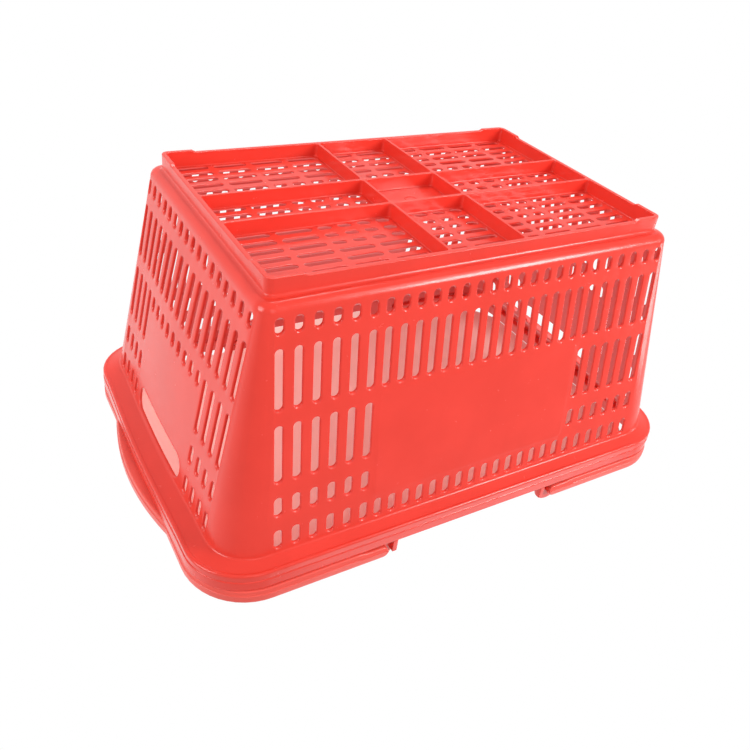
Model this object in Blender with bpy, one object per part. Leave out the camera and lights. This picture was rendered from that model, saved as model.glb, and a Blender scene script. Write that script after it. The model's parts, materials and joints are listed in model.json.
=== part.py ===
"""Hand-carry basket: one slotted tub moulded with its floor, ribs, feet, rim and hinge ears, and two bail
handles that fold down onto the rim.  Metres, +Z up; origin under the middle of the floor, +X along
its length.  The tub is one moulding, kept here as simple regions with a small gap between them."""

import math

import bmesh
import bpy
import numpy as np
from mathutils import Vector
from mathutils.geometry import delaunay_2d_cdt

MM = 0.001
GAP = 0.3 * MM  # clearance between neighbouring regions

# Tub wall: half length, half width and corner radius at height z are base + growth * z
HALF_LENGTH, LENGTH_GROWTH = 172.8 * MM, 0.1912
HALF_WIDTH, WIDTH_GROWTH = 111.5 * MM, 0.1535
CORNER_RADIUS, CORNER_GROWTH = 5.5 * MM, 0.123
WALL = 2.4 * MM
WALL_TOP = 196 * MM
FLOOR_Z = 12.4 * MM  # underside of the floor plate
FLOOR_THICKNESS = 2 * MM
SHOULDER = 7.5 * MM  # radius between floor and wall
SHOULDER_TOP = FLOOR_Z + SHOULDER
ARC_STEPS = 4  # facets in a quarter turn

# Slots: rows as lowest and highest height, columns counted from the middle of a wall
SLOT_WIDTH = 5.8 * MM
ROW_A = (21.3 * MM, 31.7 * MM)
ROW_B = (41.7 * MM, 84.4 * MM)
ROW_C = (95.7 * MM, 139.3 * MM)
ROW_D = (151.7 * MM, 166.7 * MM)
ROW_E = (178.9 * MM, 193.9 * MM)
END_MIDDLE_ROW = (95.7 * MM, 107.1 * MM)
LONG_COLUMNS = dict(middle=7, pitch=12.0 * MM, step=11.8 * MM, outer=6, outer_pitch=13.2 * MM, fan=0.167)
END_COLUMNS = dict(middle=4, pitch=12.8 * MM, step=12.0 * MM, outer=4, outer_pitch=13.1 * MM, fan=0.092)
HAND_HOLE_HALF = 50 * MM
HAND_HOLE_LOW = 174.6 * MM

# Floor: rows of slots along X between the ribs and the foot rails
FLOOR_SLOT_WIDTH = 5.4 * MM
FLOOR_ROW_PITCH = 11.5 * MM
INNER_FLOOR_ROWS = (5.8 * MM, 17.3 * MM)
FIRST_OUTER_ROW = 27 * MM
OUTER_ROWS = 7
SHORT_SLOT_ROWS = 3
BAY_PITCH = 31.8 * MM
LONG_SLOT = 27 * MM
SHORT_SLOT = 10.2 * MM
RIB_X, RIB_Y = 33 * MM, 22.2 * MM
RIB_THICKNESS = 2.2 * MM
RAIL_X, RAIL_Y = 167 * MM, 104.3 * MM
RAIL_THICKNESS = 3.6 * MM
RAIL_LIFT = 1.5 * MM  # the rails stand this far above the feet
FOOT_LENGTH = 25 * MM

# Rim: outward offset from the wall and height; the offset is scaled on each side to reach the rim's size
RIM_TOP = 216 * MM
RIM_HALF_LENGTH, RIM_HALF_WIDTH = 224.9 * MM, 153.4 * MM
RIM_OFFSET = 12.9 * MM
SHELF_TOP = 203.4 * MM
RIM_PROFILE = [(0, 196.3), (0.7, 198.6), (2.6, 200.4), (5.2, 201), (10.8, 201), (12.3, 202.2), (12.3, 208.5),
               (12.9, 208.9), (12.9, 215.4), (12.3, 216), (10.6, 216), (10, 215.4), (10, 203.4), (4.8, 203.4),
               (1, 202.6), (-1.6, 200.2), (-2.4, 197.5), (-2.4, 196.3)]

# Hinges and handles
PIVOT_X, PIVOT_Z = 85.5 * MM, 222.6 * MM
EAR_INNER_Y, EAR_OUTER_Y = 146 * MM, 149 * MM
EAR_RADIUS = 13.8 * MM
EAR_HOLE_RADIUS = 3.5 * MM
STOP_X = (71.4 * MM, 75.6 * MM)
STOP_OUTER_Y = 153.2 * MM
STOP_TOP = 227.5 * MM
PIN_RADIUS = 3 * MM
PIN_END_Y = 144.8 * MM
ARM_OUTER_Y = 155.8 * MM
ARM_THICKNESS = 6.4 * MM
BAIL_WIDTH = 8.4 * MM
BAIL_OUTER_X = 225.6 * MM
BAIL_CORNER = 50 * MM
BAIL_LOW, BAIL_HIGH = 216.4 * MM, 227.4 * MM
BAIL_BEVEL = 1.2 * MM
ARM_HALF_HEIGHT = BAIL_HIGH - PIVOT_Z
GRIP_HALF, GRIP_BULGE = 70 * MM, 9.8 * MM


def clear_scene():
    for obj in list(bpy.data.objects):
        bpy.data.objects.remove(obj, do_unlink=True)


def plastic(name, colour, roughness):
    material = bpy.data.materials.new(name)
    material.use_nodes = True
    shader = material.node_tree.nodes["Principled BSDF"]
    shader.inputs["Base Color"].default_value = (*colour, 1)
    shader.inputs["Roughness"].default_value = roughness
    shader.inputs["Metallic"].default_value = 0
    return material


def add_object(name, bm, material, helper=False):
    bmesh.ops.recalc_face_normals(bm, faces=bm.faces)
    mesh = bpy.data.meshes.new(name)
    bm.to_mesh(mesh)
    bm.free()
    obj = bpy.data.objects.new(name, mesh)
    bpy.context.scene.collection.objects.link(obj)
    if helper:
        obj.hide_render = True
        obj.display_type = "WIRE"
    else:
        mesh.materials.append(material)
    return obj


def unite(obj, helper):
    union = obj.modifiers.new("union", "BOOLEAN")
    union.operation = "UNION"
    union.solver = "EXACT"
    union.object = helper


def wall_size(z):
    """Half length, half width and corner radius of the tub's outer face at height z."""
    return (HALF_LENGTH + LENGTH_GROWTH * z, HALF_WIDTH + WIDTH_GROWTH * z, CORNER_RADIUS + CORNER_GROWTH * z)


def shoulder_profile():
    """(inset from the wall, height) down the quarter round from the wall's foot to the floor plate."""
    angles = [math.pi / 2 * k / ARC_STEPS for k in range(ARC_STEPS + 1)]
    return [(SHOULDER * (1 - math.cos(a)), SHOULDER_TOP - SHOULDER * math.sin(a)) for a in angles]


def wall_stack(top):
    """(outer inset, outer z, inner inset, inner z) of each level, from the floor plate up to a height."""
    levels = []
    for k, (inset, z) in enumerate(shoulder_profile()):
        angle = math.pi / 2 * k / ARC_STEPS
        levels.append((inset, z, inset + WALL * math.cos(angle), z + WALL * math.sin(angle)))
    return levels[::-1] + [(0, top, WALL, top)]


def shell(name, points, faces, material):
    """Close a sheet given as (outer, inner) point pairs and faces: both sides, and a strip on each border."""
    bm = bmesh.new()
    outer = [bm.verts.new(p[0]) for p in points]
    inner = [bm.verts.new(p[1]) for p in points]
    count = {}
    for face in faces:
        bm.faces.new([outer[i] for i in face])
        bm.faces.new([inner[i] for i in reversed(face)])
        for a, b in zip(face, face[1:] + face[:1]):
            count.setdefault(frozenset((a, b)), []).append((a, b))
    for uses in count.values():
        if len(uses) == 1:
            a, b = uses[0]
            bm.faces.new([outer[b], outer[a], inner[a], inner[b]])
    bmesh.ops.delete(bm, geom=[v for v in bm.verts if not v.link_faces], context="VERTS")
    return add_object(name, bm, material)


def inside(points, loops):
    """Even-odd test of many points against all the loops together."""
    x, y = points[:, 0:1], points[:, 1:2]
    start = np.concatenate([np.array(loop) for loop in loops])
    end = np.concatenate([np.roll(np.array(loop), -1, axis=0) for loop in loops])
    crosses = (start[:, 1] > y) != (end[:, 1] > y)
    rise = np.where(end[:, 1] == start[:, 1], 1, end[:, 1] - start[:, 1])
    at = start[:, 0] + (y - start[:, 1]) * (end[:, 0] - start[:, 0]) / rise
    return np.count_nonzero(crosses & (x < at), axis=1) % 2 == 1


def triangulate(loops):
    """Points and triangles that fill the first loop and leave the others open."""
    coords, edges = [], []
    for loop in loops:
        first = len(coords)
        coords += [Vector(p) for p in loop]
        edges += [(first + k, first + (k + 1) % len(loop)) for k in range(len(loop))]
    points, _, faces = delaunay_2d_cdt(coords, edges, [], 0, 1e-7)[:3]
    flat = np.array([tuple(p) for p in points])
    middles = np.array([flat[face].mean(axis=0) for face in faces])
    kept = inside(middles, loops)
    return [tuple(p) for p in flat], [list(face) for face, keep in zip(faces, kept) if keep]


def rectangle(low_x, high_x, low_y, high_y):
    return [(low_x, low_y), (high_x, low_y), (high_x, high_y), (low_x, high_y)]


def columns(layout, skip=0):
    """Signed places of the slot columns at z = 0, leaving out the first few from the middle."""
    places = [k * layout["pitch"] for k in range(layout["middle"] + 1)]
    first = places[-1] + layout["step"]
    places += [first + k * layout["outer_pitch"] for k in range(layout["outer"])]
    kept = places[skip:]
    return sorted([-s for s in kept if s > 0] + kept)


def slot_row(layout, row, skip=0, below=None):
    """Upright slots of one row; below keeps only the columns nearer the middle than that."""
    low, high = row
    spread = 1 + layout["fan"] * (low + high) / 2
    places = [s * spread for s in columns(layout, skip)]
    half = SLOT_WIDTH / 2
    return [rectangle(s - half, s + half, low, high) for s in places if below is None or abs(s) < below]


def wall_panel(name, long_side, sign, low, high, slots, material, post_side=0):
    """A flat drafted panel; s runs along it.  The lower panel also carries the rounded shoulder, and a post
    fills only the stretch between the hand hole and the corner on its side."""

    def place(s, z, inset):
        length, width, _ = wall_size(z)
        return (s, sign * (width - inset), z) if long_side else (sign * (length - inset), s, z)

    def half_span(z):
        length, width, radius = wall_size(z)
        return (length if long_side else width) - radius - GAP

    left = [(-half_span(z) if post_side <= 0 else HAND_HOLE_HALF, z) for z in (low, high)]
    right = [(half_span(z) if post_side >= 0 else -HAND_HOLE_HALF, z) for z in (low, high)]
    points, faces = triangulate([[left[0], right[0], right[1], left[1]]] + slots)
    pairs = [(place(s, z, 0), place(s, z, WALL)) for s, z in points]
    if low == SHOULDER_TOP:
        ends = [points.index(min(points, key=lambda p: math.dist(p, end))) for end in (left[0], right[0])]
        for inset, z, inner_inset, inner_z in wall_stack(high)[:ARC_STEPS][::-1]:
            first = len(pairs)
            for s, _ in (left[0], right[0]):
                outer, inner = place(s, low, inset), place(s, low, inner_inset)
                pairs.append(((*outer[:2], z), (*inner[:2], inner_z)))
            faces.append([ends[0], first, first + 1, ends[1]])
            ends = [first, first + 1]
    return shell(name, pairs, faces, material)


def corner_panel(name, sign_x, sign_y, material):
    """The conical corner between two walls, with its piece of the shoulder."""
    levels = wall_stack(WALL_TOP)
    pairs, faces = [], []
    steps = ARC_STEPS + 1
    for inset, z, inner_inset, inner_z in levels:
        length, width, radius = wall_size(max(z, SHOULDER_TOP))
        for k in range(steps):
            turn = math.pi / 2 * k / ARC_STEPS
            ring = []
            for shift, height in ((inset, z), (inner_inset, inner_z)):
                x = length - radius + max(radius - shift, 0.05 * MM) * math.cos(turn)
                y = width - radius + max(radius - shift, 0.05 * MM) * math.sin(turn)
                ring.append((sign_x * x, sign_y * y, height))
            pairs.append(tuple(ring))
    for level in range(len(levels) - 1):
        for k in range(ARC_STEPS):
            a = level * steps + k
            faces.append([a, a + 1, a + 1 + steps, a + steps])
    return shell(name, pairs, faces, material)


def floor_slots():
    """Slots of the floor: full-length rows outside, pairs of short slots beside the cross ribs further in."""
    rows = [(y, True) for y in INNER_FLOOR_ROWS]
    rows += [(FIRST_OUTER_ROW + k * FLOOR_ROW_PITCH, k < SHORT_SLOT_ROWS) for k in range(OUTER_ROWS)]
    slots = []
    for row, (y, has_short) in enumerate(rows):
        spans = []
        for bay in range(4):
            middle = RIB_X + (bay + 0.53) * BAY_PITCH
            spans += bay_spans(middle, has_short and bay < 2)
        if row >= len(INNER_FLOOR_ROWS):
            spans += bay_spans(BAY_PITCH / 2, has_short)
        for low, high in spans:
            for sign_x in (-1, 1):
                for sign_y in (-1, 1):
                    ends = sorted((sign_x * low, sign_x * high))
                    half = FLOOR_SLOT_WIDTH / 2
                    slots.append(rectangle(*ends, sign_y * y - half, sign_y * y + half))
    return slots


def bay_spans(middle, short):
    """One long slot, or the two short ones that take its place."""
    if not short:
        return [(middle - LONG_SLOT / 2, middle + LONG_SLOT / 2)]
    quarter = BAY_PITCH / 4
    return [(middle + s * quarter - SHORT_SLOT / 2, middle + s * quarter + SHORT_SLOT / 2) for s in (-1, 1)]


def prism(loops, axis, low, high, bm=None):
    """Extrude flat loops along an axis: the first loop is filled and the others stay open."""
    bm = bm or bmesh.new()
    points, faces = triangulate(loops)
    order = {"X": lambda p, d: (d, p[0], p[1]), "Y": lambda p, d: (p[0], d, p[1]), "Z": lambda p, d: (*p, d)}
    rings = [[bm.verts.new(order[axis](p, depth)) for p in points] for depth in (low, high)]
    count = {}
    for face in faces:
        bm.faces.new([rings[0][i] for i in reversed(face)])
        bm.faces.new([rings[1][i] for i in face])
        for a, b in zip(face, face[1:] + face[:1]):
            count.setdefault(frozenset((a, b)), []).append((a, b))
    for uses in count.values():
        if len(uses) == 1:
            a, b = uses[0]
            bm.faces.new([rings[0][a], rings[0][b], rings[1][b], rings[1][a]])
    return bm


def floor_plate(material):
    length, width, radius = wall_size(SHOULDER_TOP)
    x, y = length - SHOULDER - GAP, width - SHOULDER - GAP
    loops = [rectangle(-x, x, -y, y)] + floor_slots()
    add_object("floor_plate", prism(loops, "Z", FLOOR_Z, FLOOR_Z + FLOOR_THICKNESS), material)


def rail_outline(half):
    """Side view of a foot rail: feet at both ends and a slightly raised edge between them."""
    top = FLOOR_Z - GAP
    inner = half - FOOT_LENGTH
    return [(-half, 0), (-inner, 0), (-inner, RAIL_LIFT), (inner, RAIL_LIFT), (inner, 0), (half, 0),
            (half, top), (-half, top)]


def foot_rails(material):
    for sign, name in ((1, "front"), (-1, "back")):
        depth = sorted((sign * RAIL_Y, sign * (RAIL_Y - RAIL_THICKNESS)))
        add_object(f"foot_rail_{name}", prism([rail_outline(RAIL_X)], "Y", *depth), material)
    inner_half = RAIL_Y - RAIL_THICKNESS - GAP
    for sign, name in ((-1, "left"), (1, "right")):
        depth = sorted((sign * RAIL_X, sign * (RAIL_X - RAIL_THICKNESS)))
        add_object(f"foot_rail_{name}", prism([rail_outline(inner_half)], "X", *depth), material)


def floor_ribs(material):
    """Two long and two cross ribs as one grid, which ends just short of the rails."""
    half = RIB_THICKNESS / 2
    end_x, end_y = RAIL_X - RAIL_THICKNESS - GAP, RAIL_Y - RAIL_THICKNESS - GAP
    quarter = [(end_x, RIB_Y - half), (end_x, RIB_Y + half), (RIB_X + half, RIB_Y + half),
               (RIB_X + half, end_y), (RIB_X - half, end_y), (RIB_X - half, RIB_Y + half)]
    outline = quarter + [(-x, y) for x, y in reversed(quarter)]
    outline += [(-x, -y) for x, y in outline]
    notches = [(RIB_X + half, RIB_Y - half), (RIB_X + half, -RIB_Y + half)]
    outline += notches[::-1]
    left_notches = [(-x, y) for x, y in notches]
    outline[12:12] = left_notches
    hole = rectangle(-RIB_X + half, RIB_X - half, -RIB_Y + half, RIB_Y - half)
    add_object("floor_ribs", prism([outline, hole], "Z", RAIL_LIFT, FLOOR_Z - GAP), material)


def walls(material):
    lower_rows = {True: [(LONG_COLUMNS, row, skip) for row, skip in
                         ((ROW_A, 0), (ROW_B, 0), (ROW_C, 8), (ROW_D, 8), (ROW_E, 0))],
                  False: [(END_COLUMNS, row, skip) for row, skip in
                          ((ROW_A, 0), (ROW_B, 0), (ROW_C, 5), (ROW_D, 5))]}
    sides = ((True, 1, "front"), (True, -1, "back"), (False, -1, "left"), (False, 1, "right"))
    for long_side, sign, name in sides:
        slots = [slot for layout, row, skip in lower_rows[long_side] for slot in slot_row(layout, row, skip)]
        top = WALL_TOP
        if not long_side:
            slots += slot_row(END_COLUMNS, END_MIDDLE_ROW, below=HAND_HOLE_HALF + 4 * MM)
            top = HAND_HOLE_LOW
        wall_panel(f"wall_{name}", long_side, sign, SHOULDER_TOP, top, slots, material)
    for sign, name in ((-1, "left"), (1, "right")):
        for side, end in ((1, "front"), (-1, "back")):
            slots = [s for s in slot_row(END_COLUMNS, ROW_E, 5) if (s[0][0] > 0) == (side > 0)]
            wall_panel(f"wall_{name}_{end}_post", False, sign, HAND_HOLE_LOW + GAP, WALL_TOP, slots, material,
                       side)
    for sign_x, end in ((-1, "left"), (1, "right")):
        for sign_y, side in ((1, "front"), (-1, "back")):
            corner_panel(f"corner_{side}_{end}", sign_x, sign_y, material)


def rim_size(offset):
    """Half length, half width and corner radius of the rim at an outward offset from the wall."""
    length, width, radius = wall_size(WALL_TOP)
    return (length + offset * (RIM_HALF_LENGTH - length) / RIM_OFFSET,
            width + offset * (RIM_HALF_WIDTH - width) / RIM_OFFSET, radius + offset)


def loft(name, sections, material):
    """A closed body through sections with equal numbers of points, capped at both ends."""
    bm = bmesh.new()
    rings = [[bm.verts.new(p) for p in section] for section in sections]
    for one, two in zip(rings, rings[1:]):
        for k in range(len(one)):
            n = (k + 1) % len(one)
            bm.faces.new([one[k], one[n], two[n], two[k]])
    bm.faces.new(rings[0][::-1])
    bm.faces.new(rings[-1])
    return add_object(name, bm, material)


def rim(material):
    profile = [(offset * MM, z * MM) for offset, z in RIM_PROFILE]
    length, width, radius = rim_size(0)
    for sign, name in ((1, "front"), (-1, "back")):
        end = length - radius - GAP
        sections = [[(x, sign * rim_size(o)[1], z) for o, z in profile] for x in (-end, end)]
        loft(f"rim_{name}", sections, material)
    for sign, name in ((-1, "left"), (1, "right")):
        end = width - radius - GAP
        sections = [[(sign * rim_size(o)[0], y, z) for o, z in profile] for y in (-end, end)]
        loft(f"rim_{name}", sections, material)
    for sign_x, end_name in ((-1, "left"), (1, "right")):
        for sign_y, side_name in ((1, "front"), (-1, "back")):
            sections = []
            for k in range(ARC_STEPS + 1):
                turn = math.pi / 2 * k / ARC_STEPS
                section = []
                for offset, z in profile:
                    a, b, r = rim_size(offset)
                    x = length - radius + (a - length + radius) * math.cos(turn)
                    y = width - radius + (b - width + radius) * math.sin(turn)
                    section.append((sign_x * x, sign_y * y, z))
                sections.append(section)
            loft(f"rim_corner_{side_name}_{end_name}", sections, material)


def circle(x, z, radius, steps, start=0, turn=2 * math.pi, closed=True):
    count = steps if closed else steps + 1
    return [(x + radius * math.cos(start + turn * k / steps), z + radius * math.sin(start + turn * k / steps))
            for k in range(count)]


def hinge_ears(material):
    """A round-topped ear with the pin's hole, and the upright stop beside it, on each side of each handle."""
    for sign_x, end_name in ((-1, "left"), (1, "right")):
        for sign_y, side_name in ((1, "front"), (-1, "back")):
            foot = SHELF_TOP + GAP
            centre = sign_x * PIVOT_X
            outline = [(centre + EAR_RADIUS, foot)]
            outline += circle(centre, PIVOT_Z, EAR_RADIUS, 12, 0, math.pi, False)
            outline.append((centre - EAR_RADIUS, foot))
            hole = circle(centre, PIVOT_Z, EAR_HOLE_RADIUS, 12)
            depth = sorted((sign_y * EAR_INNER_Y, sign_y * EAR_OUTER_Y))
            ear = add_object(f"hinge_ear_{side_name}_{end_name}", prism([outline, hole], "Y", *depth),
                             material)
            lip = 150.4 * MM
            root = EAR_OUTER_Y - 0.6 * MM
            step = RIM_TOP + GAP
            side = [(root, foot), (lip, foot), (lip, step), (STOP_OUTER_Y, step), (STOP_OUTER_Y, STOP_TOP),
                    (root, STOP_TOP)]
            side = [(sign_y * y, z) for y, z in side]
            stop_x = sorted(sign_x * x for x in STOP_X)
            stop = add_object(f"stop_{side_name}_{end_name}", prism([side], "X", *stop_x), None, helper=True)
            unite(ear, stop)


def bail_section(point, inward, width, low, high):
    """Bevelled rectangle from the outer face at point, width deep along inward, between two heights."""
    cut = BAIL_BEVEL
    corners = [(cut, low), (width - cut, low), (width, low + cut), (width, high - cut), (width - cut, high),
               (cut, high), (0, high - cut), (0, low + cut)]
    return [(point[0] + d * inward[0], point[1] + d * inward[1], z) for d, z in corners]


def grip_bulge(y):
    """How far the grip stands out: a flat arch over its length."""
    return GRIP_BULGE * max(0, 1 - (y / GRIP_HALF) ** 2)


def bail_half(sign_x):
    """Sections from the hinge on the +Y side, round the corner, to the middle of the grip."""
    arm_low = PIVOT_Z - ARM_HALF_HEIGHT
    sections = [bail_section((sign_x * PIVOT_X, ARM_OUTER_Y), (0, -1), ARM_THICKNESS, arm_low, BAIL_HIGH)]
    steps = ((100 * MM, ARM_THICKNESS, (arm_low + BAIL_LOW) / 2), (112 * MM, BAIL_WIDTH, BAIL_LOW))
    for x, width, low in steps:
        sections.append(bail_section((sign_x * x, ARM_OUTER_Y), (0, -1), width, low, BAIL_HIGH))
    centre = (BAIL_OUTER_X - BAIL_CORNER, ARM_OUTER_Y - BAIL_CORNER)
    for k in range(7):
        turn = math.pi / 2 * (1 - k / 6)
        out = (sign_x * math.cos(turn), math.sin(turn))
        point = (sign_x * centre[0] + BAIL_CORNER * out[0], centre[1] + BAIL_CORNER * out[1])
        sections.append(bail_section(point, (-out[0], -out[1]), BAIL_WIDTH, BAIL_LOW, BAIL_HIGH))
    for k in range(6):
        y = GRIP_HALF * (1 - k / 5)
        bulge = grip_bulge(y)
        point = (sign_x * (BAIL_OUTER_X + bulge), y)
        sections.append(bail_section(point, (-sign_x, 0), BAIL_WIDTH + bulge, BAIL_LOW, BAIL_HIGH))
    return sections


def turned_pin(bm, x, sign_y):
    """The arm's round end and the pin moulded on its inner face, turned about the hinge axis."""
    arm_inner = ARM_OUTER_Y - ARM_THICKNESS
    profile = [(ARM_HALF_HEIGHT, ARM_OUTER_Y), (ARM_HALF_HEIGHT, arm_inner), (PIN_RADIUS, arm_inner),
               (PIN_RADIUS, PIN_END_Y)]
    rings = [[bm.verts.new((px, sign_y * y, pz)) for px, pz in circle(x, PIVOT_Z, radius, 16)]
             for radius, y in profile]
    for one, two in zip(rings, rings[1:]):
        for k in range(16):
            n = (k + 1) % 16
            bm.faces.new([one[k], one[n], two[n], two[k]])
    bm.faces.new(rings[0][::-1])
    bm.faces.new(rings[-1])


def handles(material):
    for sign_x, name in ((-1, "left"), (1, "right")):
        half = bail_half(sign_x)
        mirrored = [[(x, -y, z) for x, y, z in section] for section in half[:-1]]
        bail = loft(f"handle_{name}", half + mirrored[::-1], material)
        bm = bmesh.new()
        for sign_y in (-1, 1):
            turned_pin(bm, sign_x * PIVOT_X, sign_y)
        pins = add_object(f"pins_{name}", bm, None, helper=True)
        hinge = bpy.data.objects.new(f"hinge_{name}", None)
        hinge.location = (sign_x * PIVOT_X, 0, PIVOT_Z)
        bpy.context.scene.collection.objects.link(hinge)
        for obj in (bail, pins):
            obj.parent = hinge
            obj.matrix_parent_inverse.translation = -hinge.location
        unite(bail, pins)


def main():
    clear_scene()
    tub = plastic("tub_polypropylene", (0.82, 0.055, 0.035), 0.28)
    bail = plastic("handle_polypropylene", (0.80, 0.06, 0.045), 0.34)
    floor_plate(tub)
    foot_rails(tub)
    floor_ribs(tub)
    walls(tub)
    rim(tub)
    hinge_ears(tub)
    handles(bail)


main()
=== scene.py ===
"""Red hand basket, injection moulded: the slotted tub with its ribs, feet, rim and hinge ears, and two bail
handles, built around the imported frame.  Metres, +Z up out of the mouth, +X along the length."""

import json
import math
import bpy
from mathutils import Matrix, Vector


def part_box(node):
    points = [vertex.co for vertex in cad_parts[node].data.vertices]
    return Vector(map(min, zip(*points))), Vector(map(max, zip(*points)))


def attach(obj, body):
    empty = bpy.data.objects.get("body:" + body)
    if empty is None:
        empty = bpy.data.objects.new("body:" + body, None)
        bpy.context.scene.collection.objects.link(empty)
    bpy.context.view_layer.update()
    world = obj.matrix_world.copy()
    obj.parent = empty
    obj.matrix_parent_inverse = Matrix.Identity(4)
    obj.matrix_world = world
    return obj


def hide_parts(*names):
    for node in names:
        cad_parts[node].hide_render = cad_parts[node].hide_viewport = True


bl_info = {
    "name": "Slotted hand basket",
    "version": (1, 0, 0),
    "blender": (4, 5, 0),
    "location": "3D View > Sidebar > Basket",
    "description": "Builds a moulded, slotted hand basket with folding bail handles around its packed frame",
    "category": "Add Mesh",
}

import bmesh
import bpy
import numpy as np
from bpy.props import FloatProperty, FloatVectorProperty, PointerProperty, StringProperty
from mathutils import Vector
from mathutils.geometry import delaunay_2d_cdt

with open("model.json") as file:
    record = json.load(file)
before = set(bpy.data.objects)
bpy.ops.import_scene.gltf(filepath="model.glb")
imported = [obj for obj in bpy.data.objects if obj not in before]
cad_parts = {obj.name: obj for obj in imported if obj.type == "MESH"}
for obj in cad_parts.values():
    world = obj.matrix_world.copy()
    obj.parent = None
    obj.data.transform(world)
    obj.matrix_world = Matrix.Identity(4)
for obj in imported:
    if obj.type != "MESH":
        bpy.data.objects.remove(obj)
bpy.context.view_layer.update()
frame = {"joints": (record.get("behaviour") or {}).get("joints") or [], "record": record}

MM = 0.001
WELD = 0.004 * MM


def low(node):
    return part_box(node)[0]


def high(node):
    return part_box(node)[1]


# Heights and outlines that the frame gives
FLOOR_LOW, FLOOR_HIGH = low("floor_plate").z, high("floor_plate").z
WALL_TOP = high("wall_front").z
TOP_HALF_LENGTH, TOP_HALF_WIDTH = high("wall_right_front_post").x, high("wall_front").y
RIM_HALF_LENGTH, RIM_HALF_WIDTH, RIM_TOP = high("rim_right").x, high("rim_front").y, high("rim_front").z
RAIL_HALF_LENGTH, RAIL_HALF_WIDTH = high("foot_rail_right").x, high("foot_rail_front").y
RAIL_THICKNESS = RAIL_HALF_LENGTH - low("foot_rail_right").x
PIVOT = {joint["child"]: joint["pos_m"] for joint in frame["joints"]}
EAR_INNER = low("hinge_ear_front_right").y
BAIL_LOW, BAIL_HIGH = RIM_TOP + 0.4 * MM, high("handle_right").z
BAIL_SIDE, BAIL_END = high("handle_right").y, high("handle_right").x

# Tub wall: how fast its half length, half width and corner radius grow with height
LENGTH_DRAFT, WIDTH_DRAFT = 0.1912, 0.1535
CORNER_FOOT, CORNER_DRAFT = 9.9 * MM, 0.112
END_SET_BACK = 1.3 * MM  # the frame's flat end wall is the mean of the bowed one, so corners sit further in
SHOULDER = 7.5 * MM
FLOOR_DRAFT = 0.9 * MM  # how much further a floor slot's edges stand out at the inner face
SHOULDER_TOP = FLOOR_LOW + SHOULDER
SLOT_ARC = 4  # facets in a quarter turn of a slot's end
SLOT_SLOPE = 1.1 * MM  # how much taller a wall's slot is at the outer face, all at its upper end
SLOT_SCOOP = 1.6 * MM  # depth at which that slope ends
ARC = 12  # facets in a quarter turn of the rim
SHOULDER_RINGS = 8  # rings of the shoulder, from wall to floor
BOW_FADE = 60 * MM  # height over which the end wall's bow fades in above the shoulder
PANEL_CORNER, PANEL_RAMP = 3 * MM, 0.9 * MM  # corner radius of the blank panel and the width of its slope
# Corner angles in degrees, from the flat of a wall to the corner's middle, at the rim and at the shoulder
RIM_ANGLES = np.linspace(0, 45, ARC // 2 + 1)
FOOT_ANGLES = np.concatenate([(0, 7.5, 15), np.linspace(22.5, 45, ARC // 2 + 1)])
FOOT_QUARTER = np.concatenate([FOOT_ANGLES, 90 - FOOT_ANGLES[-2::-1]])

# Slot columns from the middle of a wall, in millimetres: evenly spaced, a step, then the outer group; fan is
# the growth per metre up
LONG_WALL = {"middle": 7, "pitch": 12.0, "step": 11.8, "outer": 6, "outer_pitch": 13.18, "fan": 0.167}
END_WALL = {"middle": 4, "pitch": 12.775, "step": 12.0, "outer": 4, "outer_pitch": 13.09, "fan": 0.092}
# Slot rows from the floor up, as lowest and highest height; MIDDLE_ROW is the end wall's short one
ROWS = {"A": (21.3, 31.7), "B": (41.7, 84.4), "C": (95.7, 139.3), "D": (151.7, 166.7), "E": (178.9, 193.9)}
MIDDLE_ROW = (95.7, 107.1)
# Margins of the blank panel: beside its last column, above the row below it, below the row or hole above it
PANEL_MARGIN = {"side": 5.2, "bottom": 4.5, "top_long": 4.0, "top_end": 5.0}
HAND_HOLE = {"half_length": 50.0, "low": 174.6, "high": 195.2, "radius": 9.5}

# Floor slots, along X: rows by distance from the middle line, and the bays between the cross ribs
FLOOR_ROWS = {"inner": (5.8, 17.3), "first_outer": 27.0, "pitch": 11.5, "outer": 7, "with_short": 3}
BAY = {"pitch": 31.8, "side_start": 33.9, "long": 27.0, "short": 10.2}
RIB_X, RIB_Y, RIB_HALF = 33 * MM, 22.2 * MM, 1.1 * MM
FOOT = {"length": 25 * MM, "ramp": 3 * MM, "lift": 1.5 * MM}
RAIL_ROUND, RAIL_SINK = 0.55 * MM, 0.05 * MM  # rounding of the lower edges; depth of the tops in the floor
RING_CORNER, RING_FILLET = 6 * MM, 2.4 * MM  # outside of the foot ring: corner radius and fillet to the floor
CELL_CORNER, CELL_FILLET = 2.4 * MM, 0.9 * MM  # the same in the nine cells between the ribs
GATE_RADIUS, GATE_TUBE = 4.95 * MM, 0.7 * MM

# Hinge ears and the upright stops beside them: root, lip and out are distances from the middle along Y, and
# in is measured back from the pin along X
EAR = {"foot": 202.6 * MM, "radius": 13.8 * MM, "hole": 3.5 * MM, "thickness": 3 * MM, "round": 0.5 * MM}
STOP = {"in": 14.1 * MM, "width": 4.2 * MM, "root": 148.4 * MM, "lip": 150.4 * MM, "out": 153.2 * MM,
        "step": RIM_TOP + 0.3 * MM, "top": 227.5 * MM}

# Bail handles: where the grip starts to bow, the arm's relief over the rim and the run that it fades over
BAIL_END_STRAIGHT = 225.6 * MM
ARM_RELIEF, SWELL_START, SWELL_LENGTH = 1.4 * MM, 12 * MM, 8 * MM
BAIL_ROUND = 1.5 * MM
GROOVE_HEIGHT, GROOVE_SLOPE = 3.6 * MM, 0.7 * MM
PIN = {"tip": 144.8 * MM, "chamfer": 0.4 * MM, "root": 151.0 * MM, "radius": 3.0 * MM}

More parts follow.
